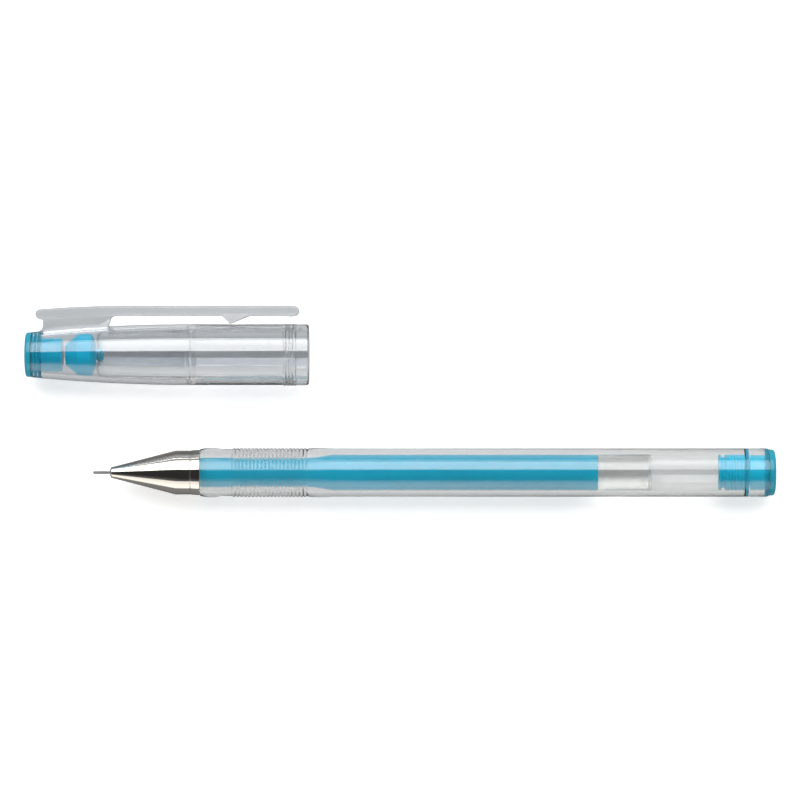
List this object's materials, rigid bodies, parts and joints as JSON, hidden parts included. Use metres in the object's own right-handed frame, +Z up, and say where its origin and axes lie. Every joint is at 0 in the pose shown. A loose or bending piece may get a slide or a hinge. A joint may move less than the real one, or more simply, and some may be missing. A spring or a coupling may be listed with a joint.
{
  "type": "gel pen",
  "caption": "Slim gel pen with a needle tip, a clear ribbed barrel and its clear cap with a pocket clip lying beside it.",
  "frame": {"origin": "on the table the pen and cap lie on, under the centre of the box round both", "axes": "+X along the pen from the needle's tip to the tail; +Y from the pen to the cap; +Z up from the table"},
  "size_m": [0.1394, 0.0356, 0.0115],
  "materials": {
    "clear_plastic": "clear, glossy moulded plastic",
    "blue_plastic": "glossy moulded plastic, sky blue",
    "plated_metal": "bright nickel plating on turned metal",
    "tube_plastic": "translucent moulded tube",
    "holder_plastic": "translucent white moulding",
    "needle_steel": "drawn stainless pipe",
    "ball_carbide": "polished carbide ball",
    "ink_gel": "wet blue gel ink",
    "grease": "clear grease",
    "frosted_plastic": "frosted moulded plastic",
    "seal_rubber": "soft blue seal, satin"
  },
  "bodies": {
    "pen_body": {"barrel": "clear_plastic", "tail_plug": "blue_plastic"},
    "refill": {"refill_tube": "tube_plastic", "tip_holder": "holder_plastic", "needle": "needle_steel", "ink": "ink_gel"},
    "cone": {"nose_cone": "plated_metal"},
    "ball": {"writing_ball": "ball_carbide"},
    "grease_plug": {"follower": "grease"},
    "cap": {"cap_shell": "clear_plastic", "cap_end_plug": "blue_plastic", "inner_cap": "frosted_plastic", "tip_seal": "seal_rubber"},
    "clip": {"clip_arm": "clear_plastic"}
  },
  "joints": [
    {"name": "refill_slide", "type": "slide", "parent": "pen_body", "child": "refill", "axis": [-1, 0, 0], "range_m": [0, 0.09]},
    {"name": "cone_unscrew", "type": "slide", "parent": "refill", "child": "cone", "axis": [-1, 0, 0], "range_m": [0, 0.024]},
    {"name": "ball_roll", "type": "hinge", "parent": "refill", "child": "ball", "pos_m": [-0.05695, -0.01317, 0.0046], "axis": [0, 1, 0], "continuous": true},
    {"name": "grease_slide", "type": "slide", "parent": "refill", "child": "grease_plug", "axis": [-1, 0, 0], "range_m": [0, 0.0485], "deforming": ["ink"]},
    {"name": "cap_pull", "type": "slide", "parent": "pen_body", "child": "cap", "axis": [-1, 0, 0], "range_m": [0, 0.042]},
    {"name": "clip_flex", "type": "hinge", "parent": "cap", "child": "clip", "pos_m": [-0.0531, 0.01681, 0.00577], "axis": [0, 0, 1], "range_deg": [0, 4], "stiffness_Nm_per_rad": 0.6}
  ]
}
